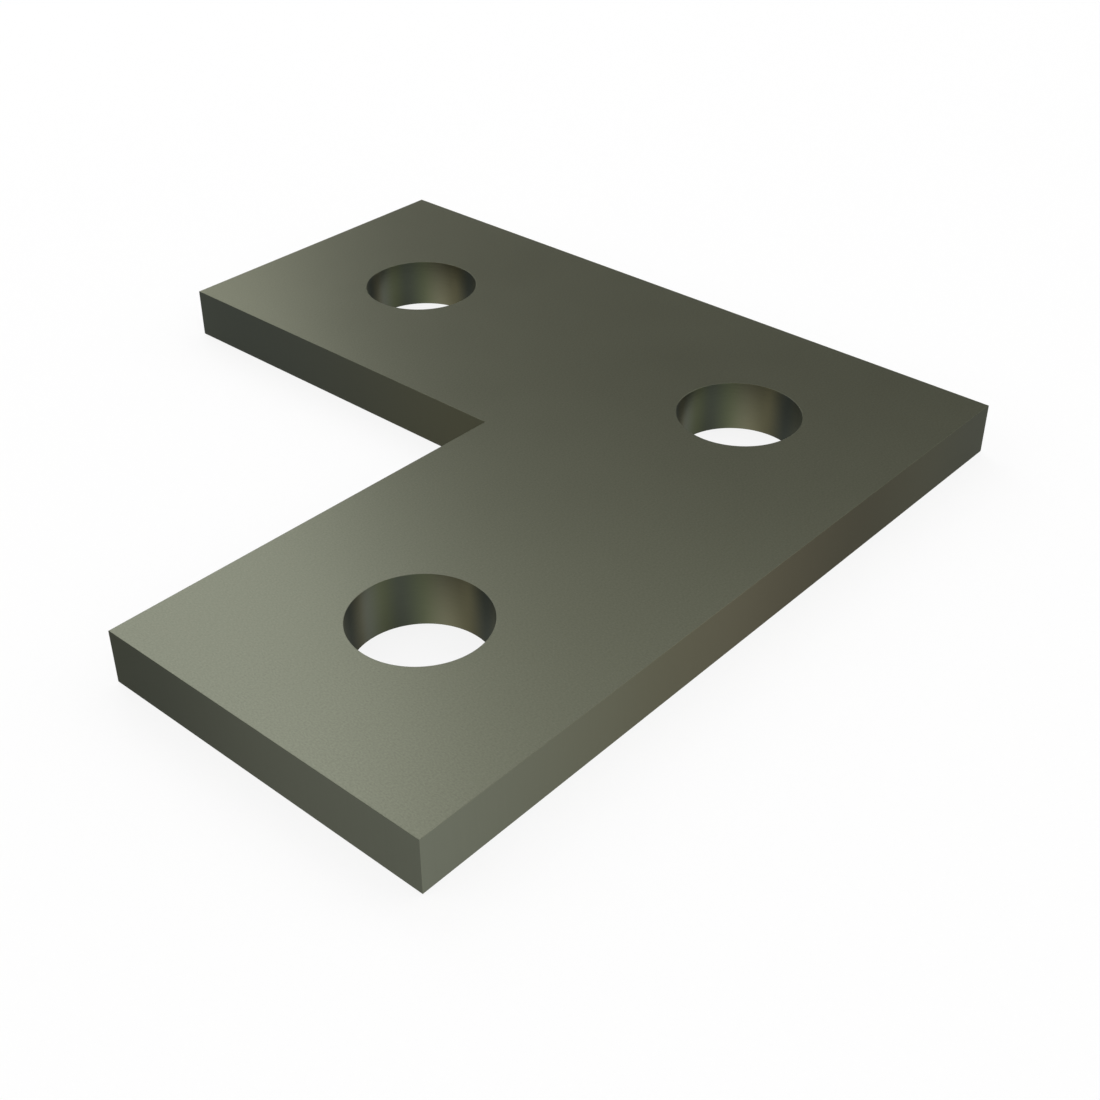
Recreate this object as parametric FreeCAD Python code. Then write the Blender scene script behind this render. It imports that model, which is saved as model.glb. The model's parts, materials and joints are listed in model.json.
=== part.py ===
# Flat L-shaped joining plate with a round bolt hole at its corner and one near the end of each leg.
# The plate lies on its seating face, z = 0, with its other face one thickness above.
# The origin is on the corner hole's axis, where the centre lines of the two framing members cross.
# One leg runs along +X and the other along +Y. All sizes are in millimetres.
import FreeCAD, Part
import os

# Driving dimensions
LEG_WIDTH = 40.0
PLATE_THICKNESS = 6.0
HOLE_PITCH = 50.0  # from the corner hole to the end hole, the same along both legs
END_DISTANCE = 20.0  # from the end hole's centre to the end of its leg
BOLT_DIAMETER = 12.0
BOLT_CLEARANCE = 2.0  # on the diameter, so that the joint can be squared up before tightening
EDGE_BREAK = 0.15  # burrs taken off around both faces and both rims of every hole

# Sizes that follow from them
HALF_WIDTH = LEG_WIDTH / 2
LEG_REACH = HOLE_PITCH + END_DISTANCE  # from the corner hole's centre to the end of a leg
HOLE_DIAMETER = BOLT_DIAMETER + BOLT_CLEARANCE

UP = FreeCAD.Vector(0, 0, 1)
LEVEL_TOLERANCE = 1e-6  # an edge that rises less than this lies in one of the two faces


def outline_corners():
    """Corners of the L, counter-clockwise from its outer corner, with each leg's centre line on an axis."""
    return [
        FreeCAD.Vector(-HALF_WIDTH, -HALF_WIDTH, 0),
        FreeCAD.Vector(LEG_REACH, -HALF_WIDTH, 0),
        FreeCAD.Vector(LEG_REACH, HALF_WIDTH, 0),
        FreeCAD.Vector(HALF_WIDTH, HALF_WIDTH, 0),
        FreeCAD.Vector(HALF_WIDTH, LEG_REACH, 0),
        FreeCAD.Vector(-HALF_WIDTH, LEG_REACH, 0),
    ]


def hole_centres():
    """Where the bolts go: the corner, then the end of the X leg and the end of the Y leg."""
    return [
        FreeCAD.Vector(0, 0, 0),
        FreeCAD.Vector(HOLE_PITCH, 0, 0),
        FreeCAD.Vector(0, HOLE_PITCH, 0),
    ]


def hole_rim(centre):
    """Circle that a bolt hole leaves in the seating face."""
    return Part.Wire(Part.Circle(centre, UP, HOLE_DIAMETER / 2).toShape())


def plate_profile():
    """The L with its three holes, as one flat face."""
    corners = outline_corners()
    outline = Part.makePolygon(corners + corners[:1])
    rims = [hole_rim(centre) for centre in hole_centres()]
    return Part.makeFace([outline] + rims, "Part::FaceMakerBullseye")


def lies_level(edge):
    """True for an edge around one of the two faces, false for one that runs through the thickness."""
    return edge.BoundBox.ZLength < LEVEL_TOLERANCE


def break_edges(blank):
    """Chamfers the outline and the hole rims on both faces."""
    level_edges = [edge for edge in blank.Edges if lies_level(edge)]
    return blank.makeChamfer(EDGE_BREAK, level_edges)


def joining_plate():
    """The finished plate, as one solid."""
    blank = plate_profile().extrude(UP * PLATE_THICKNESS)
    return break_edges(blank).Solids[0]


def main():
    os.makedirs("parts", exist_ok=True)
    plate = joining_plate()
    plate.exportStep("parts/joining_plate.step")
    box = plate.BoundBox
    print(f"joining_plate: {box.XLength:.2f} x {box.YLength:.2f} x {box.ZLength:.2f} mm, {plate.Volume:.1f} mm3")


main()
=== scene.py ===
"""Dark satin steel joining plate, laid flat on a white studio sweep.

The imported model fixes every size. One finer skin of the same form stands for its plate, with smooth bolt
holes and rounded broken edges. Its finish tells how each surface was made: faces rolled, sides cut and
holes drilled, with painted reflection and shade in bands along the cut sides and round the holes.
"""

import json
import logging
import math
from dataclasses import dataclass, field
from enum import Enum
from typing import Any

import bpy
import numpy as np
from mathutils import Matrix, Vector


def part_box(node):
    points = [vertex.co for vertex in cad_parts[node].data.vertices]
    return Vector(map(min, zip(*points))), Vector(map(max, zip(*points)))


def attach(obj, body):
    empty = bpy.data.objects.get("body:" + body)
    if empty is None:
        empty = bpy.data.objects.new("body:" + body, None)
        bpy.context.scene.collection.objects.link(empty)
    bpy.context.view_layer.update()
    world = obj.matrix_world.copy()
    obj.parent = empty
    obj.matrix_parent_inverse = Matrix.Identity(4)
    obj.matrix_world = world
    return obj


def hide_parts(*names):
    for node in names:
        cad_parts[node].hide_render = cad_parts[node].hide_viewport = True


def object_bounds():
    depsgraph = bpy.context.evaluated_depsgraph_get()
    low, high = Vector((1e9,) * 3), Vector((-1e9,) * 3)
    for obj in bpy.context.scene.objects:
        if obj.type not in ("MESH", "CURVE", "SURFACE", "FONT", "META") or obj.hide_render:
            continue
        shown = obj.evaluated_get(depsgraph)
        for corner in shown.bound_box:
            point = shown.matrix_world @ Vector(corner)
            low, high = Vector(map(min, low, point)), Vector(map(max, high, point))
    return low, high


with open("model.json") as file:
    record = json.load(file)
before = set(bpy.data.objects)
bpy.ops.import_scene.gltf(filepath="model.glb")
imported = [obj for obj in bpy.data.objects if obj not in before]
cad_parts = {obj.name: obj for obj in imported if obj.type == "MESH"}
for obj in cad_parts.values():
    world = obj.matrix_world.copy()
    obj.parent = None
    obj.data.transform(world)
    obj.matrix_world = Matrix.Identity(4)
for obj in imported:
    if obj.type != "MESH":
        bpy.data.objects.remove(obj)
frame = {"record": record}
CAD_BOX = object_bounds()

MM = 0.001
PLATE_NODE = "joining_plate"
BODY = "root"
CHART = "chart"  # the plate's UV map, in metres along the surface
NOISE_MEAN = 0.5  # what the noise node varies about
NOISE_FALL = 0.5  # how strong each finer layer of noise is beside the one before

Colour = tuple[float, float, float]
Vector3 = tuple[float, float, float]
Point = tuple[float, float]  # in plan, in metres
log = logging.getLogger("joining_plate")


def mount(name: str) -> dict[str, Any]:
    """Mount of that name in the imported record."""
    return next(entry for entry in frame["record"]["mounts"] if entry["name"] == name)


def compass(azimuth: float, elevation: float) -> Vector:
    """Direction from the plate towards a place in the studio.

    Args:
        azimuth: Degrees round the plate, 0 at -Y and 90 at +X.
        elevation: Degrees above the floor.

    Returns:
        Unit vector (sin a cos e, -cos a cos e, sin e).
    """
    a, e = math.radians(azimuth), math.radians(elevation)
    return Vector((math.sin(a) * math.cos(e), -math.cos(a) * math.cos(e), math.sin(e)))


class Making(Enum):
    """How a surface was made. The mesh attribute of that name marks the cut sides and the drilled holes."""

    ROLLED = "rolled"
    CUT = "cut"
    DRILLED = "drilled"


class PaintedReflectionTint(Enum):
    """Colour of a painted reflection on the steel, as a factor on each channel."""

    BRIGHT = (0.97, 1.00, 1.06)
    PALE_STRAW = (1.04, 1.00, 0.96)
    STRAW = (1.04, 1.00, 0.88)
    GOLD = (1.08, 1.00, 0.84)
    BRONZE = (1.13, 1.00, 0.93)
    OLIVE = (0.93, 1.00, 0.82)
    SLATE = (0.92, 1.00, 1.02)
    BLUE = (0.93, 1.00, 1.14)


@dataclass(frozen=True)
class Band:
    """Place along a wall where one painted reflection is at its strongest."""

    share: float  # of the way along the wall
    tone: float  # how light the painted reflection and shade make the steel there, where 1 is as light as a rolled face
    painted_reflection: PaintedReflectionTint

    @property
    def colour(self) -> Colour:
        """Factor of painted reflection and shade on the steel's colour."""
        red, green, blue = self.painted_reflection.value
        return self.tone * red, self.tone * green, self.tone * blue


@dataclass(frozen=True)
class HoleBand(Band):
    """Band of painted reflection down a hole's wall, whose painted shade may change on its way from face to
    face.
    """

    painted_depth_shade: float = 0.0  # painted shade down the wall: how much lighter it is painted by the top face than by the seating face
    chatter: float = 0.0  # how much rougher it is than the smoothest steel of the wall


@dataclass(frozen=True)
class Signal:
    """What one output socket carries. Where that is a number, it can be used in arithmetic."""

    graph: "Graph"
    socket: bpy.types.NodeSocket

    def __add__(self, other: "Signal | float") -> "Signal":
        """This plus another."""
        return self.graph.maths("ADD", self, other)

    def __radd__(self, other: float) -> "Signal":
        """A number plus this."""
        return self.graph.maths("ADD", other, self)

    def __sub__(self, other: "Signal | float") -> "Signal":
        """This less another."""
        return self.graph.maths("SUBTRACT", self, other)

    def __rsub__(self, other: float) -> "Signal":
        """A number less this."""
        return self.graph.maths("SUBTRACT", other, self)

    def __mul__(self, other: "Signal | float") -> "Signal":
        """This times another."""
        return self.graph.maths("MULTIPLY", self, other)

    def __rmul__(self, other: float) -> "Signal":
        """A number times this."""
        return self.graph.maths("MULTIPLY", other, self)


class Graph:
    """Node tree of a material or of the world, while it is filled."""

    def __init__(self, owner: "bpy.types.Material | bpy.types.World") -> None:
        """Empties the owner's node tree.

        Args:
            owner: Material or world whose nodes are to be made.
        """
        owner.use_nodes = True
        self.tree = owner.node_tree
        self.tree.nodes.clear()

    def add(
        self,
        kind: str,
        output: str,
        settings: dict[str, Any] | None = None,
        sockets: dict[str, Any] | None = None,
    ) -> Signal:
        """Adds one node.

        Args:
            kind: The node's type.
            output: Name or identifier of the output that is wanted, or "" for a node that has none.
            settings: Properties, set first. "stops" gives a ramp's (position, colour) pairs.
            sockets: Values or signals of its inputs, by name or identifier.

        Returns:
            The wanted output.
        """
        node = self.tree.nodes.new(kind)
        for name, value in (settings or {}).items():
            if name == "stops":
                self.set_stops(node.color_ramp, value)
            else:
                setattr(node, name, value)
        for name, value in (sockets or {}).items():
            socket = self.find(node.inputs, name)
            if isinstance(value, Signal):
                self.tree.links.new(value.socket, socket)
            else:
                socket.default_value = value
        return Signal(self, self.find(node.outputs, output) if output else None)

    @staticmethod
    def find(sockets: Any, name: str) -> bpy.types.NodeSocket:
        """Socket with that identifier, or else with that name."""
        exact = [socket for socket in sockets if socket.identifier == name]
        return exact[0] if exact else sockets[name]

    @staticmethod
    def set_stops(ramp: bpy.types.ColorRamp, stops: list[tuple[float, Colour]]) -> None:
        """Gives a colour ramp its stops, with a smooth curve through them.

        Args:
            ramp: The ramp, with Blender's two first stops.
            stops: Position and colour of each, in rising order.
        """
        ramp.interpolation = "CARDINAL"
        while len(ramp.elements) < len(stops):
            ramp.elements.new(1.0)
        for element, (position, colour) in zip(ramp.elements, stops):
            element.position = position
            element.color = (*colour, 1.0)

    def maths(self, operation: str, first: "Signal | float", second: "Signal | float") -> Signal:
        """Math node on two numbers, each a signal or fixed."""
        sockets = {"Value": first, "Value_001": second}
        return self.add("ShaderNodeMath", "Value", {"operation": operation}, sockets)

    def times(self, colour: "Signal | Colour", by: "Signal | Colour") -> Signal:
        """Product of two colours, channel by channel."""
        sockets = {"Vector": colour, "Vector_001": by}
        return self.add("ShaderNodeVectorMath", "Vector", {"operation": "MULTIPLY"}, sockets)

    def scaled(self, colour: "Signal | Colour", by: Signal) -> Signal:
        """A colour made lighter or darker by a number."""
        sockets = {"Vector": colour, "Scale": by}
        return self.add("ShaderNodeVectorMath", "Vector", {"operation": "SCALE"}, sockets)

    def blend(self, share: Signal, first: "Signal | Colour", second: "Signal | Colour") -> Signal:
        """Mixes two colours.

        Args:
            share: How far to go from the first to the second, held between 0 and 1.
            first: Colour where share is 0.
            second: Colour where share is 1.

        Returns:
            The mixed colour.
        """
        sides = {
            name: value if isinstance(value, Signal) else (*value, 1.0)
            for name, value in (("A_Color", first), ("B_Color", second))
        }
        settings = {"data_type": "RGBA", "clamp_factor": True}
        return self.add("ShaderNodeMix", "Result_Color", settings, {"Factor_Float": share, **sides})

    def stretched(self, place: Signal, lengths: Vector3, turn: float = 0.0) -> Signal:
        """Coordinates on which a pattern comes out longer.

        Args:
            place: Coordinates to start from.
            lengths: How many times longer it is along each axis.
            turn: Angle in radians by which the X and Y axes are turned first.

        Returns:
            Coordinates along the turned axes, each divided by its length.
        """
        settings = {"vector_type": "TEXTURE"}
        sockets = {"Vector": place, "Rotation": (0.0, 0.0, turn), "Scale": lengths}
        return self.add("ShaderNodeMapping", "Vector", settings, sockets)

    def along_wall(self, chart: Signal, way_round: float, stops: list[tuple[float, Colour]]) -> Signal:
        """Colour that goes smoothly from stop to stop along a wall.

        Args:
            chart: Chart coordinates, the first of which is the distance along the wall.
            way_round: The wall's whole length.
            stops: Share of the way and colour of each, in rising order.

        Returns:
            The colour, whose channels may be above 1.
        """
        most = max(max(colour) for _, colour in stops)
        scaled = [(share, tuple(channel / most for channel in colour)) for share, colour in stops]
        along = self.add("ShaderNodeSeparateXYZ", "X", {}, {"Vector": chart})
        ramp = self.add("ShaderNodeValToRGB", "Color", {"stops": scaled}, {"Fac": along * (1 / way_round)})
        return self.times(ramp, (most, most, most))

    def noise(self, place: Signal, size: float, pattern: float, detail: float = 2.0) -> Signal:
        """Soft random relief.

        Args:
            place: Coordinates in metres.
            size: Width of one bump and its dip, in metres.
            pattern: Which of the node's endless patterns is used.
            detail: Number of finer layers on top of the coarsest.

        Returns:
            A number about 0, mostly from -0.25 to 0.25.
        """
        settings = {"noise_dimensions": "4D"}
        layers = {"Detail": detail, "Roughness": NOISE_FALL}
        sockets = {"Vector": place, "W": pattern, "Scale": 1.0 / size, **layers}
        return self.add("ShaderNodeTexNoise", "Fac", settings, sockets) - NOISE_MEAN


@dataclass(frozen=True)
class Look:
    """What a finish says of the surface at each point."""

    colour: Signal
    roughness: "Signal | float"
    height: Signal


@dataclass(frozen=True)
class RolledFace:
    """Face as the rolls leave it: a fine grain drawn out along the rolling direction, and a slight drift."""

    grain_size: float = 0.15 * MM  # divides the thickness, so that both faces show the noise at its finest
    grain_stretch: float = 1.6  # how many times longer than wide the grain is
    rolling_turn: float = 0.0  # degrees from the X leg to the rolling direction
    grain_height: float = 0.004 * MM
    grain_pattern: float = 0.0
    drift_size: float = 16 * MM
    drift_pattern: float = 3.0
    colour_drift: float = 0.05
    grain_tone: float = 0.54
    roughness: float = 0.30
    roughness_drift: float = 0.05

    def look(self, graph: Graph, place: Signal, steel: Colour) -> Look:
        """Shades a face.

        Args:
            graph: Where the nodes go.
            place: Object coordinates.
            steel: The bare steel's colour.

        Returns:
            Colour, roughness and height of the face.
        """
        rolled = graph.stretched(place, (self.grain_stretch, 1.0, 1.0), math.radians(self.rolling_turn))
        grain = graph.noise(rolled, self.grain_size, self.grain_pattern)
        drift = graph.noise(place, self.drift_size, self.drift_pattern)
        tone = 1.0 + drift * self.colour_drift + grain * self.grain_tone
        roughness = self.roughness + drift * self.roughness_drift
        return Look(graph.scaled(steel, tone), roughness, grain * self.grain_height)


@dataclass(frozen=True)
class CutSide:
    """Side left by the profile cut, which goes anticlockwise round the outline from the end of the Y leg.

    Its bands are painted reflection and shade: painted bright where the cut comes in, straw and bronze
    further on, darker most of the way and bright again at the end.
    """

    way_round: float
    # Painted reflection and shade along the side, by share of the way round the outline.
    bands: tuple[Band, ...] = (
        Band(0.000, 1.41, PaintedReflectionTint.BRIGHT),
        Band(0.070, 1.04, PaintedReflectionTint.PALE_STRAW),
        Band(0.120, 0.77, PaintedReflectionTint.BRONZE),
        Band(0.170, 0.46, PaintedReflectionTint.BRONZE),
        Band(0.215, 0.48, PaintedReflectionTint.PALE_STRAW),
        Band(0.250, 0.43, PaintedReflectionTint.BRIGHT),
        Band(0.400, 0.58, PaintedReflectionTint.PALE_STRAW),
        Band(0.500, 0.75, PaintedReflectionTint.BRIGHT),
        Band(0.555, 0.60, PaintedReflectionTint.BRIGHT),
        Band(0.611, 0.41, PaintedReflectionTint.BLUE),
        Band(0.680, 0.42, PaintedReflectionTint.BRIGHT),
        Band(0.750, 0.48, PaintedReflectionTint.STRAW),
        Band(0.890, 0.28, PaintedReflectionTint.SLATE),
        Band(0.945, 0.63, PaintedReflectionTint.BRIGHT),
        Band(1.000, 0.86, PaintedReflectionTint.BRIGHT),
    )
    mark_spacing: float = 0.35 * MM
    mark_length: float = 9 * MM
    mark_height: float = 0.0015 * MM
    mark_tone: float = 0.05
    mark_pattern: float = 7.0
    roughness: float = 0.36

    def look(self, graph: Graph, chart: Signal, steel: Colour) -> Look:
        """Shades a cut side.

        Args:
            graph: Where the nodes go.
            chart: Distance along the outline and over the edge, in metres.
            steel: The bare steel's colour.

        Returns:
            Colour, roughness and height of the side.
        """
        upright = graph.stretched(chart, (1.0, self.mark_length / self.mark_spacing, 1.0))
        marks = graph.noise(upright, self.mark_spacing, self.mark_pattern)
        # The bands paint reflection and shade along the side; the marks vary its tone at random.
        painted_reflection = graph.along_wall(chart, self.way_round, [(band.share, band.colour) for band in self.bands])
        tone = 1.0 + marks * self.mark_tone
        return Look(graph.scaled(graph.times(painted_reflection, steel), tone), self.roughness, marks * self.mark_height)


@dataclass(frozen=True)
class DrilledHole:
    """Hole wall left by the drill, with soft bands of painted reflection and shade down it, and rougher where
    the drill chattered.
    """

    way_round: float
    way_down: float
    # Painted reflection and shade round the wall, by share of the way round; the painted shade also changes
    # with depth.
    bands: tuple[HoleBand, ...] = (
        HoleBand(0.000, 0.70, PaintedReflectionTint.BRIGHT, chatter=0.25),
        HoleBand(0.040, 0.66, PaintedReflectionTint.BRIGHT, painted_depth_shade=-0.1, chatter=0.25),
        HoleBand(0.085, 0.55, PaintedReflectionTint.BLUE, chatter=0.28),
        HoleBand(0.130, 0.73, PaintedReflectionTint.GOLD, painted_depth_shade=0.1, chatter=0.05),
        HoleBand(0.165, 0.83, PaintedReflectionTint.GOLD, painted_depth_shade=-0.5),
        HoleBand(0.205, 1.01, PaintedReflectionTint.STRAW, painted_depth_shade=-0.6),
        HoleBand(0.245, 0.86, PaintedReflectionTint.OLIVE, painted_depth_shade=-0.2),
        HoleBand(0.295, 0.55, PaintedReflectionTint.SLATE, painted_depth_shade=0.3),
        HoleBand(0.340, 0.76, PaintedReflectionTint.OLIVE, painted_depth_shade=0.4),
        HoleBand(0.380, 0.93, PaintedReflectionTint.BRIGHT, painted_depth_shade=0.3),
        HoleBand(0.405, 0.78, PaintedReflectionTint.PALE_STRAW, painted_depth_shade=0.5, chatter=0.10),
        HoleBand(0.445, 0.49, PaintedReflectionTint.BLUE, painted_depth_shade=0.5, chatter=0.25),
        HoleBand(0.500, 0.75, PaintedReflectionTint.BRIGHT, painted_depth_shade=0.2, chatter=0.25),
        HoleBand(0.580, 0.50, PaintedReflectionTint.SLATE, painted_depth_shade=0.5),
        HoleBand(0.660, 0.94, PaintedReflectionTint.STRAW, painted_depth_shade=-0.2),
        HoleBand(0.720, 0.66, PaintedReflectionTint.OLIVE, painted_depth_shade=0.1),
        HoleBand(0.780, 0.46, PaintedReflectionTint.SLATE, painted_depth_shade=0.5),
        HoleBand(0.860, 0.84, PaintedReflectionTint.BRIGHT, painted_depth_shade=0.2),
        HoleBand(0.930, 0.50, PaintedReflectionTint.SLATE, painted_depth_shade=0.8),
        HoleBand(1.000, 0.70, PaintedReflectionTint.BRIGHT, chatter=0.25),
    )
    ring_spacing: float = 0.25 * MM
    ring_length: float = 2 * MM
    ring_height: float = 0.012 * MM
    ring_tone: float = 0.08
    ring_pattern: float = 9.0
    roughness: float = 0.34

    def look(self, graph: Graph, chart: Signal, steel: Colour) -> Look:
        """Shades a hole's wall.

        Args:
            graph: Where the nodes go.
            chart: Distance round the hole and along its axis, in metres.
            steel: The bare steel's colour.

        Returns:
            Colour, roughness and height of the wall, whose painted shade changes with its depth below the top
            face.
        """
        turned = graph.stretched(chart, (self.ring_length / self.ring_spacing, 1.0, 1.0))
        rings = graph.noise(turned, self.ring_spacing, self.ring_pattern)
        # The bands paint reflection and shade round the wall.
        painted_reflection = graph.along_wall(chart, self.way_round, [(band.share, band.colour) for band in self.bands])
        # The painted depth shade goes through a ramp, which holds no number below 0, so the ramp carries 1
        # more than it.
        painted_depth_shade = self.from_band_to_band(graph, chart, [1.0 + band.painted_depth_shade for band in self.bands]) - 1.0
        rough = [self.roughness + band.chatter for band in self.bands]
        roughness = self.from_band_to_band(graph, chart, rough)
        depth = graph.add("ShaderNodeSeparateXYZ", "Y", {}, {"Vector": chart}) * (1 / self.way_down)
        above_middle = 0.5 - depth
        # Rings vary the tone at random; the painted depth shade makes the wall lighter or darker towards the
        # top face.
        tone = 1.0 + rings * self.ring_tone + above_middle * painted_depth_shade
        return Look(graph.scaled(graph.times(painted_reflection, steel), tone), roughness, rings * self.ring_height)

    def from_band_to_band(self, graph: Graph, chart: Signal, numbers: list[float]) -> Signal:
        """Number that goes smoothly round the wall through those given, one for each band."""
        stops = [(band.share, (number,) * 3) for band, number in zip(self.bands, numbers)]
        return graph.along_wall(chart, self.way_round, stops)


@dataclass(frozen=True)
class PlateSteel:
    """The plate's finish: dark olive-grey satin steel, rolled, cut and drilled, with painted reflection and
    shade on its cut sides and holes.
    """

    cut: CutSide
    drilled: DrilledHole
    colour: Colour = (0.115, 0.120, 0.087)
    grazing_tint: Colour = (0.65, 0.65, 0.61)  # a dark steel keeps its colour where it is seen at a low angle
    rolled: RolledFace = RolledFace()

    def material(self, name: str) -> bpy.types.Material:
        """Makes the material.

        Args:
            name: The material's name.

        Returns:
            Metal that changes from one finish to the next where the mesh attributes say so.
        """
        made = bpy.data.materials.new(name)
        graph = Graph(made)
        place = graph.add("ShaderNodeTexCoord", "Object")
        chart = graph.add("ShaderNodeUVMap", "UV", {"uv_map": CHART})
        look = self.rolled.look(graph, place, self.colour)
        look = self.over(graph, look, self.cut.look(graph, chart, self.colour), Making.CUT)
        look = self.over(graph, look, self.drilled.look(graph, chart, self.colour), Making.DRILLED)
        heights = {"Strength": 1.0, "Distance": 1.0, "Height": look.height}
        relief = graph.add("ShaderNodeBump", "Normal", {}, heights)
        shader = graph.add(
            "ShaderNodeBsdfPrincipled",
            "BSDF",
            {},
            {
                "Base Color": look.colour,
                "Metallic": 1.0,
                "Roughness": look.roughness,
                "Specular Tint": (*self.grazing_tint, 1.0),
                "Normal": relief,
            },
        )
        graph.add("ShaderNodeOutputMaterial", "", {}, {"Surface": shader})
        return made

    @staticmethod
    def over(graph: Graph, below: Look, above: Look, making: Making) -> Look:
        """Lays one finish over another where the mesh is marked for it.

        Args:
            graph: Where the nodes go.
            below: Look outside the marked surfaces.
            above: Look on them.
            making: The mark.

        Returns:
            Look that blends over each broken edge.
        """
        share = graph.add("ShaderNodeAttribute", "Fac", {"attribute_name": making.value})
        return Look(
            graph.blend(share, below.colour, above.colour),
            below.roughness + (above.roughness - below.roughness) * share,
            below.height + (above.height - below.height) * share,
        )


@dataclass(frozen=True)
class Patch:
    """Sheet of skin on a grid of rows and columns, with the surface's own direction at each point."""

    points: np.ndarray  # rows x columns x 3, in metres
    normals: np.ndarray  # the same shape, of unit length, pointing out of the steel
    chart: np.ndarray  # rows x columns x 2, in metres along the surface
    share: np.ndarray  # rows x columns, from 0 on a rolled face to 1 on the wall it turns into
    making: Making

    def facing_out(self) -> "Patch":
        """Turns the columns round if the first cell would face into the steel.

        Returns:
            This patch, or a copy of it that faces out.
        """
        across = self.points[0, 1] - self.points[0, 0]
        down = self.points[1, 0] - self.points[0, 0]
        if np.cross(across, down) @ self.normals[0, 0] >= 0:
            return self
        turned = (grid[:, ::-1] for grid in (self.points, self.normals, self.chart, self.share))
        return Patch(*turned, self.making)


@dataclass
class Skin:
    """Closed skin sewn from patches that meet point to point."""

    patches: list[Patch]
    weld: float = 1e-7  # points that round to the same multiple of this are one

    def mesh(self, name: str) -> bpy.types.Mesh:
        """Sews the patches into one mesh.

        Each cell of each grid is a four-sided face. Points of the same place are merged, while every face
        keeps the normals, chart and marks of its own patch, so that edges stay crisp and walls stay smooth.

        Args:
            name: The mesh's name.

        Returns:
            The mesh, with its chart, its marks and its exact normals.
        """
        patches = [patch.facing_out() for patch in self.patches]
        starts = np.cumsum([0] + [patch.share.size for patch in patches])
        corners = np.concatenate([start + self.cells(patch) for start, patch in zip(starts, patches)])
        points = np.concatenate([patch.points.reshape(-1, 3) for patch in patches])
        normals = np.concatenate([patch.normals.reshape(-1, 3) for patch in patches])
        chart = np.concatenate([patch.chart.reshape(-1, 2) for patch in patches])
        _, first, merged = np.unique(
            np.round(points / self.weld).astype(np.int64), axis=0, return_index=True, return_inverse=True
        )
        mesh = bpy.data.meshes.new(name)
        mesh.from_pydata(points[first], [], merged.reshape(-1)[corners].tolist())
        loops = corners.ravel()
        mesh.uv_layers.new(name=CHART).uv.foreach_set("vector", chart[loops].astype(np.float32).ravel())
        for making in (Making.CUT, Making.DRILLED):
            share = np.concatenate([patch.share.ravel() * (patch.making is making) for patch in patches])
            marks = mesh.attributes.new(making.value, "FLOAT", "CORNER")
            marks.data.foreach_set("value", share[loops].astype(np.float32))
        mesh.polygons.foreach_set("use_smooth", np.ones(len(corners), bool))
        mesh.normals_split_custom_set(normals[loops].tolist())
        mesh.update()
        self.check_closed(mesh)
        return mesh

    @staticmethod
    def cells(patch: Patch) -> np.ndarray:
        """Corner numbers of a patch's cells.

        Args:
            patch: The patch, whose point (row, column) is number row * columns + column.

        Returns:
            One row of four numbers for each cell, anticlockwise as seen from outside.
        """
        rows, columns = patch.share.shape
        number = np.arange(rows * columns).reshape(rows, columns)
        cells = (number[:-1, :-1], number[:-1, 1:], number[1:, 1:], number[1:, :-1])
        return np.stack(cells, axis=-1).reshape(-1, 4)

    @staticmethod
    def check_closed(mesh: bpy.types.Mesh) -> None:
        """Makes sure that the skin has no gap.

        Args:
            mesh: The skin.

        Raises:
            ValueError: An edge doesn't join exactly two faces.
        """
        edges = np.empty(len(mesh.loops), np.int32)
        mesh.loops.foreach_get("edge_index", edges)
        uses = np.bincount(edges, minlength=len(mesh.edges))
        if np.any(uses != 2):
            raise ValueError(f"{mesh.name}: {np.count_nonzero(uses != 2)} edges don't join two faces")


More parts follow.
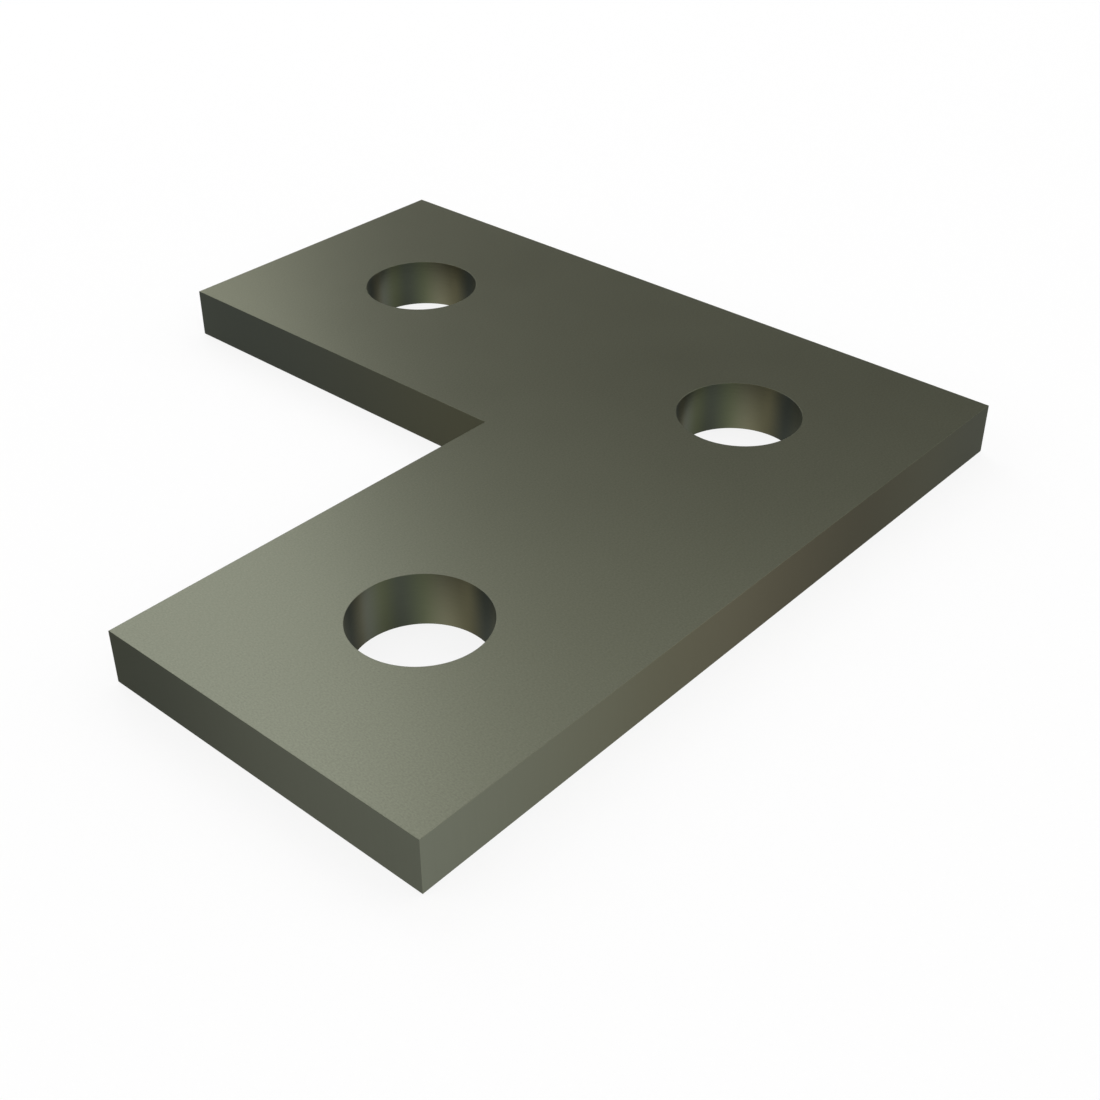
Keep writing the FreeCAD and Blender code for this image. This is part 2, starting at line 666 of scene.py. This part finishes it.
@dataclass(frozen=True)
class EdgeProfile:
    """Section through a wall of the plate: over a broken edge, down the wall and round the other broken edge.

    With f from 0 to 90 degrees round a broken edge of radius b, a point lies b (1 - sin f) short of the
    wall and b (1 - cos f) below the face, and its normal leans out by sin f and up by cos f.
    """

    thickness: float
    edge_break: float
    round_steps: int = 5
    wall_steps: int = 4

    def rows(self) -> tuple[np.ndarray, np.ndarray, np.ndarray, np.ndarray]:
        """Points of the section, from the top face to the seating face.

        Returns:
            How far each point is out from the start of the broken edge, its height, and how far its normal
            leans out and up.
        """
        turn = np.linspace(0.0, np.pi / 2, self.round_steps + 1)
        wall = np.linspace(1.0, 0.0, self.wall_steps + 1)[1:-1]
        out = self.edge_break * np.concatenate([np.sin(turn), np.ones(len(wall)), np.sin(turn[::-1])])
        drop = self.edge_break * (1.0 - np.cos(turn))
        low, high = self.edge_break, self.thickness - self.edge_break
        height = np.concatenate([self.thickness - drop, low + (high - low) * wall, drop[::-1]])
        lean_up = np.concatenate([np.cos(turn), np.zeros(len(wall)), -np.cos(turn[::-1])])
        return out, height, out / self.edge_break, lean_up

    def carry(
        self, path: np.ndarray, reach: np.ndarray, facing: np.ndarray, start: float, making: Making
    ) -> Patch:
        """Carries the section along a path.

        A point of the wall is path + out * reach in plan, at the section's height.

        Args:
            path: Points in plan where the face meets the broken edge, one row each.
            reach: What one unit outwards of the section adds in plan at each, longer at a mitred corner.
            facing: Direction in plan in which the wall faces at each.
            start: Chart distance of the path's first point.
            making: How the wall was made.

        Returns:
            The wall with both its broken edges.
        """
        out, height, lean_out, lean_up = self.rows()
        shape = (len(out), len(path))
        plan = path + out[:, None, None] * reach
        points = np.concatenate([plan, np.broadcast_to(height[:, None, None], (*shape, 1))], axis=-1)
        painted_depth_shade = np.broadcast_to(lean_up[:, None, None], (*shape, 1))
        normals = np.concatenate([lean_out[:, None, None] * facing, painted_depth_shade], axis=-1)
        along = start + np.concatenate([[0.0], np.cumsum(np.linalg.norm(np.diff(path, axis=0), axis=1))])
        down = np.concatenate([[0.0], np.cumsum(np.hypot(np.diff(out), np.diff(height)))])
        chart = np.stack(np.broadcast_arrays(along[None, :], down[:, None]), axis=-1)
        share = np.broadcast_to(lean_out[:, None], shape)
        return Patch(points, normals, chart, share, making)


@dataclass
class JoiningPlate:
    """Flat L with a bolt hole at its corner and one near the end of each leg.

    The corner hole's axis is the Z axis, the seating face is z = 0, and the legs run along +X and +Y. Each
    face is tiled by a pad round each hole and a link between neighbouring pads, all of four-sided cells.
    """

    leg_width: float
    leg_reach: float  # from the corner hole's axis to the end of a leg
    hole_pitch: float
    hole_radius: float
    thickness: float
    edge_break: float = 0.05 * MM  # just enough to take the burr off
    pad_steps: int = 24  # cells along one side of a pad
    link_steps: int = 6
    ring_steps: int = 8  # cells from a hole's rim to the side of its pad
    profile: EdgeProfile = field(init=False)

    def __post_init__(self) -> None:
        """Sets the section of the walls."""
        self.profile = EdgeProfile(self.thickness, self.edge_break)

    @classmethod
    def from_frame(cls) -> "JoiningPlate":
        """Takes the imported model's sizes.

        Returns:
            Plate of the same size.
        """
        low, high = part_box(PLATE_NODE)
        corner, leg_end = mount("corner_bolt_hole"), mount("x_leg_bolt_hole")
        return cls(
            leg_width=-2 * low.x,
            leg_reach=high.x,
            hole_pitch=leg_end["pos_m"][0],
            hole_radius=corner["dims"]["r_mm"] * MM,
            thickness=high.z - low.z,
        )

    @property
    def lines(self) -> tuple[float, float, float, float]:
        """Where the face's pads begin and end along a leg: outer side, inner side, far pad and tip."""
        inner = self.leg_width / 2 - self.edge_break
        return -inner, inner, self.hole_pitch - inner, self.leg_reach - self.edge_break

    @property
    def outline_length(self) -> float:
        """Way round the face's outline, which is four times a leg's length."""
        outer, _, _, tip = self.lines
        return 4 * (tip - outer)

    def hole_centres(self) -> list[Point]:
        """Centres of the corner hole, the X leg's hole and the Y leg's hole, in plan."""
        return [(0.0, 0.0), (self.hole_pitch, 0.0), (0.0, self.hole_pitch)]

    def circle(self) -> np.ndarray:
        """Directions round a hole, anticlockwise from the one that points at the pad's low corner.

        Returns:
            (cos t, sin t), one row for each step round a pad and the first one again.
        """
        turn = np.linspace(0.0, 2 * np.pi, 4 * self.pad_steps + 1) - 0.75 * np.pi
        return np.stack([np.cos(turn), np.sin(turn)], axis=-1)

    def stretch(self, start: Point, end: Point) -> np.ndarray:
        """Divides one side of a pad or of a link as its cells are divided.

        Args:
            start: Where the side begins.
            end: Where it ends.

        Returns:
            Points in plan, one row each.
        """
        _, inner, far, _ = self.lines
        is_link = math.isclose(math.dist(start, end), far - inner)
        steps = self.link_steps if is_link else self.pad_steps
        return np.linspace(start, end, steps + 1)

    def level(self, plan: np.ndarray, height: float) -> Patch:
        """Part of a face.

        Args:
            plan: Grid of points in plan.
            height: 0 for the seating face, or the thickness for the top.

        Returns:
            The patch, facing down or up.
        """
        shape = plan.shape[:2]
        points = np.concatenate([plan, np.full((*shape, 1), height)], axis=-1)
        normals = np.zeros_like(points)
        normals[..., 2] = 1.0 if height > 0 else -1.0
        return Patch(points, normals, plan, np.zeros(shape), Making.ROLLED)

    def pad(self, centre: Point, low: Point, high: Point) -> np.ndarray:
        """Grid between a hole's rim and the rectangle round it.

        The point at share v of the way out is (1 - v) times the rim's point plus v times the rectangle's.

        Args:
            centre: The hole's centre in plan.
            low: The rectangle's lowest corner.
            high: Its highest corner.

        Returns:
            Points in plan, a row for each ring of cells.
        """
        rim = np.array(centre) + (self.hole_radius + self.edge_break) * self.circle()
        corners = np.array([low, (high[0], low[1]), high, (low[0], high[1]), low])
        sides = [np.linspace(a, b, self.pad_steps + 1)[:-1] for a, b in zip(corners[:-1], corners[1:])]
        frame_line = np.concatenate([*sides, corners[:1]])
        out = np.linspace(0.0, 1.0, self.ring_steps + 1)[:, None, None]
        return (1 - out) * rim + out * frame_line

    def link(self, low: Point, high: Point, steps: tuple[int, int]) -> np.ndarray:
        """Grid over a plain rectangle.

        Args:
            low: Its lowest corner.
            high: Its highest corner.
            steps: Cells along x and along y.

        Returns:
            Points in plan.
        """
        x = np.linspace(low[0], high[0], steps[0] + 1)
        y = np.linspace(low[1], high[1], steps[1] + 1)
        return np.stack(np.meshgrid(x, y), axis=-1)

    def faces(self) -> list[Patch]:
        """Tiles the top and the seating face.

        Returns:
            Three pads and two links of each.
        """
        outer, inner, far, tip = self.lines
        corner, x_end, y_end = self.hole_centres()
        grids = [
            self.pad(corner, (outer, outer), (inner, inner)),
            self.pad(x_end, (far, outer), (tip, inner)),
            self.pad(y_end, (outer, far), (inner, tip)),
            self.link((inner, outer), (far, inner), (self.link_steps, self.pad_steps)),
            self.link((outer, inner), (inner, far), (self.pad_steps, self.link_steps)),
        ]
        return [self.level(grid, height) for grid in grids for height in (0.0, self.thickness)]

    def sides(self) -> list[Patch]:
        """Carries the section along each side of the outline.

        At a corner, one unit outwards adds the sum of both sides' facings, which lies on their mitre.

        Returns:
            The six cut sides, in the order of the cut: anticlockwise from the Y leg's outer end corner.
        """
        outer, inner, far, tip = self.lines
        turns = [
            [(outer, tip), (outer, far), (outer, inner), (outer, outer)],
            [(outer, outer), (inner, outer), (far, outer), (tip, outer)],
            [(tip, outer), (tip, inner)],
            [(tip, inner), (far, inner), (inner, inner)],
            [(inner, inner), (inner, far), (inner, tip)],
            [(inner, tip), (outer, tip)],
        ]
        facings = np.array([self.facing(stops[0], stops[-1]) for stops in turns])
        patches, start = [], 0.0
        befores, afters = np.roll(facings, 1, axis=0), np.roll(facings, -1, axis=0)
        for stops, before, here, after in zip(turns, befores, facings, afters):
            stretches = [self.stretch(a, b) for a, b in zip(stops[:-1], stops[1:])]
            path = np.concatenate([stretches[0][:1]] + [stretch[1:] for stretch in stretches])
            facing = np.tile(here, (len(path), 1))
            reach = facing.copy()
            reach[0] += before
            reach[-1] += after
            patches.append(self.profile.carry(path, reach, facing, start, Making.CUT))
            start += math.dist(stops[0], stops[-1])
        return patches

    @staticmethod
    def facing(start: Point, end: Point) -> tuple[float, float]:
        """Direction in which a side faces that is walked anticlockwise from start to end."""
        length = math.dist(start, end)
        return (end[1] - start[1]) / length, (start[0] - end[0]) / length

    def bores(self) -> list[Patch]:
        """Carries the section round each hole's rim, facing the hole's axis.

        Returns:
            The three holes' walls.
        """
        ring = self.circle()
        rim = (self.hole_radius + self.edge_break) * ring
        return [
            self.profile.carry(np.array(centre) + rim, -ring, -ring, 0.0, Making.DRILLED)
            for centre in self.hole_centres()
        ]

    def build(self) -> bpy.types.Object:
        """Makes the plate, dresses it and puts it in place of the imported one.

        Returns:
            The plate's object.
        """
        mesh = Skin(self.faces() + self.sides() + self.bores()).mesh("joining_plate_skin")
        plate = bpy.data.objects.new("joining_plate_skin", mesh)
        bpy.context.scene.collection.objects.link(plate)
        self.dress(plate)
        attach(plate, BODY)
        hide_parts(PLATE_NODE)
        return plate

    def dress(self, plate: bpy.types.Object) -> None:
        """Gives the plate its steel.

        Args:
            plate: The plate's object, with its mesh.
        """
        rim_length = 2 * math.pi * (self.hole_radius + self.edge_break)
        drilled = DrilledHole(way_round=rim_length, way_down=self.thickness)
        finish = PlateSteel(cut=CutSide(way_round=self.outline_length), drilled=drilled)
        plate.data.materials.append(finish.material("plate_steel"))


@dataclass(frozen=True)
class WhiteSweep:
    """Paper of the floor, which turns up into a low wall all round.

    Carried round the Z axis, its profile is a floor out to floor_radius, a quarter circle of sweep_radius
    and an upright wall up to wall_height.
    """

    first_ring: float = 0.55  # radius of the floor's innermost ring of points
    floor_radius: float = 1.1
    sweep_radius: float = 0.4
    wall_height: float = 0.6
    floor_level: float = -0.1 * MM
    turn_steps: int = 128
    sweep_steps: int = 24
    paper: Colour = (0.97, 0.97, 0.97)
    glow_share: float = 0.85  # how much of the paper shows as plain white, so that the rest keeps the shadow

    def mesh(self) -> bpy.types.Mesh:
        """Floor and wall as one surface of revolution.

        Returns:
            The mesh, facing the plate.
        """
        bend = np.linspace(0.0, np.pi / 2, self.sweep_steps + 1)
        radius = np.concatenate([[self.first_ring], self.floor_radius + self.sweep_radius * np.sin(bend)])
        height = np.concatenate([[0.0], self.sweep_radius * (1 - np.cos(bend))])
        radius = np.append(radius, radius[-1])
        height = np.append(height, self.wall_height) + self.floor_level
        turn = np.linspace(0.0, 2 * np.pi, self.turn_steps, endpoint=False)
        x = radius[:, None] * np.cos(turn)
        y = radius[:, None] * np.sin(turn)
        rings = np.stack(np.broadcast_arrays(x, y, height[:, None]), axis=-1).reshape(-1, 3)
        points = np.concatenate([[(0.0, 0.0, self.floor_level)], rings])
        here = 1 + np.arange(len(radius) * self.turn_steps).reshape(len(radius), self.turn_steps)
        beside = np.roll(here, -1, axis=1)
        fan = np.stack([np.zeros_like(here[0]), here[0], beside[0]], axis=-1)
        quads = np.stack([here[:-1], here[1:], beside[1:], beside[:-1]], axis=-1).reshape(-1, 4)
        mesh = bpy.data.meshes.new("white_sweep")
        mesh.from_pydata(points, [], fan.tolist() + quads.tolist())
        mesh.polygons.foreach_set("use_smooth", np.ones(len(mesh.polygons), bool))
        mesh.update()
        return mesh

    def material(self) -> bpy.types.Material:
        """Makes matt white paper.

        Returns:
            Material that keeps a soft shadow and is see-through from below, so that the underside shows.
        """
        made = bpy.data.materials.new("white_paper")
        graph = Graph(made)
        matt = graph.add("ShaderNodeBsdfDiffuse", "BSDF", {}, {"Color": (*self.paper, 1.0)})
        white = {"Color": (1.0, 1.0, 1.0, 1.0), "Strength": 1.0}
        glow = graph.add("ShaderNodeEmission", "Emission", {}, white)
        kinds = ("Camera", "Glossy", "Transmission")
        camera, glossy, through = [graph.add("ShaderNodeLightPath", f"Is {kind} Ray") for kind in kinds]
        seen = graph.maths("MINIMUM", camera + glossy + through, 1.0)
        paper = self.mixed(graph, seen * self.glow_share, matt, glow)
        clear = graph.add("ShaderNodeBsdfTransparent", "BSDF")
        behind = graph.add("ShaderNodeNewGeometry", "Backfacing")
        sheet = self.mixed(graph, behind, paper, clear)
        graph.add("ShaderNodeOutputMaterial", "", {}, {"Surface": sheet})
        return made

    @staticmethod
    def mixed(graph: Graph, share: Signal, first: Signal, second: Signal) -> Signal:
        """Shader that goes from the first to the second as share goes from 0 to 1."""
        sockets = {"Fac": share, "Shader": first, "Shader_001": second}
        return graph.add("ShaderNodeMixShader", "Shader", {}, sockets)

    def build(self) -> bpy.types.Object:
        """Lays the paper.

        Returns:
            The sweep's object.
        """
        sweep = bpy.data.objects.new("white_sweep", self.mesh())
        sweep.data.materials.append(self.material())
        bpy.context.scene.collection.objects.link(sweep)
        return sweep


@dataclass(frozen=True)
class SoftLamp:
    """Large rectangular lamp that faces the plate."""

    name: str
    azimuth: float
    elevation: float
    width: float
    height: float
    level: float  # how bright its surface is, where 1 is white
    colour: Colour = (1.0, 1.0, 1.0)
    distance: float = 0.9

    def build(self, target: Vector) -> bpy.types.Object:
        """Hangs the lamp.

        A surface of level L, width w and height h gives off pi L w h.

        Args:
            target: The point that it faces.

        Returns:
            The lamp's object.
        """
        light = bpy.data.lights.new(self.name, "AREA")
        light.shape = "RECTANGLE"
        light.size, light.size_y = self.width, self.height
        light.energy = math.pi * self.level * self.width * self.height
        light.color = self.colour
        lamp = bpy.data.objects.new(self.name, light)
        towards = compass(self.azimuth, self.elevation)
        lamp.location = target + towards * self.distance
        lamp.rotation_mode = "QUATERNION"
        lamp.rotation_quaternion = towards.to_track_quat("Z", "Y")
        lamp.visible_camera = False
        bpy.context.scene.collection.objects.link(lamp)
        return lamp


@dataclass(frozen=True)
class PhotoCamera:
    """Camera that stands where the photograph was taken from."""

    place: Vector3 = (-85.25 * MM, 129.02 * MM, 94.14 * MM)
    azimuth: float = 221.281
    elevation: float = 34.842
    focal_pixels: float = 1581.8
    picture_pixels: int = 1100
    sensor: float = 36.0  # in millimetres, as Blender counts it
    nearest: float = 0.01  # how near to it things still show

    def build(self) -> bpy.types.Object:
        """Sets the camera up and makes it the scene's.

        Returns:
            The camera's object.
        """
        data = bpy.data.cameras.new("photo_camera")
        data.sensor_width = self.sensor
        data.lens = self.sensor * self.focal_pixels / self.picture_pixels
        data.clip_start = self.nearest
        camera = bpy.data.objects.new("photo_camera", data)
        camera.location = self.place
        camera.rotation_mode = "QUATERNION"
        camera.rotation_quaternion = compass(self.azimuth, self.elevation).to_track_quat("Z", "Y")
        bpy.context.scene.collection.objects.link(camera)
        bpy.context.scene.camera = camera
        return camera


@dataclass
class Studio:
    """White sweep in a softly lit room, with large lamps all round the plate.

    Three stand across from the camera, where the plate mirrors them, and three fill in from its own side.
    """

    room_level: float = 0.26
    room_colour: Colour = (1.02, 1.0, 0.97)
    sweep: WhiteSweep = field(default_factory=WhiteSweep)
    lamps: tuple[SoftLamp, ...] = (
        SoftLamp("overhead_lamp", 26.0, 62.0, width=0.7, height=0.9, level=0.96),
        SoftLamp("side_lamp", 66.0, 40.0, width=0.4, height=0.5, level=2.35, colour=(0.98, 1.0, 1.1)),
        SoftLamp("low_lamp", 89.0, 20.0, width=1.2, height=0.4, level=0.6, colour=(1.05, 1.0, 0.9)),
        SoftLamp("right_fill", 150.0, 38.0, width=1.0, height=0.7, level=1.0),
        SoftLamp("back_fill", 235.0, 38.0, width=1.0, height=0.7, level=1.0),
        SoftLamp("left_fill", 320.0, 38.0, width=1.0, height=0.7, level=1.0),
    )

    def build(self, target: Vector) -> None:
        """Builds the room, the sweep and the lamps.

        Args:
            target: The point that the lamps face.
        """
        world = bpy.data.worlds.new("room")
        graph = Graph(world)
        room = {"Color": (*self.room_colour, 1.0), "Strength": self.room_level}
        light = graph.add("ShaderNodeBackground", "Background", {}, room)
        graph.add("ShaderNodeOutputWorld", "", {}, {"Surface": light})
        bpy.context.scene.world = world
        sweep = self.sweep.build()
        log.info("%s: %.1f m across, %d faces", sweep.name, sweep.dimensions.x, len(sweep.data.polygons))
        for lamp in self.lamps:
            lamp.build(target)
            log.info("%s: %.2f by %.2f m, level %.2f", lamp.name, lamp.width, lamp.height, lamp.level)


def write_sizes() -> None:
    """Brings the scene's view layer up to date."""
    bpy.context.view_layer.update()


def main() -> None:
    """Builds the plate, the studio and the camera."""
    logging.basicConfig(level=logging.INFO, format="%(name)s: %(message)s")
    bpy.context.scene.view_settings.view_transform = "Standard"
    plate = JoiningPlate.from_frame().build()
    log.info("%s: %d faces, closed", plate.name, len(plate.data.polygons))
    low, high = CAD_BOX
    Studio().build((low + high) / 2)
    camera = PhotoCamera().build()
    log.info("%s: %.1f mm lens", camera.name, camera.data.lens)
    write_sizes()


if __name__ == "__main__":
    main()
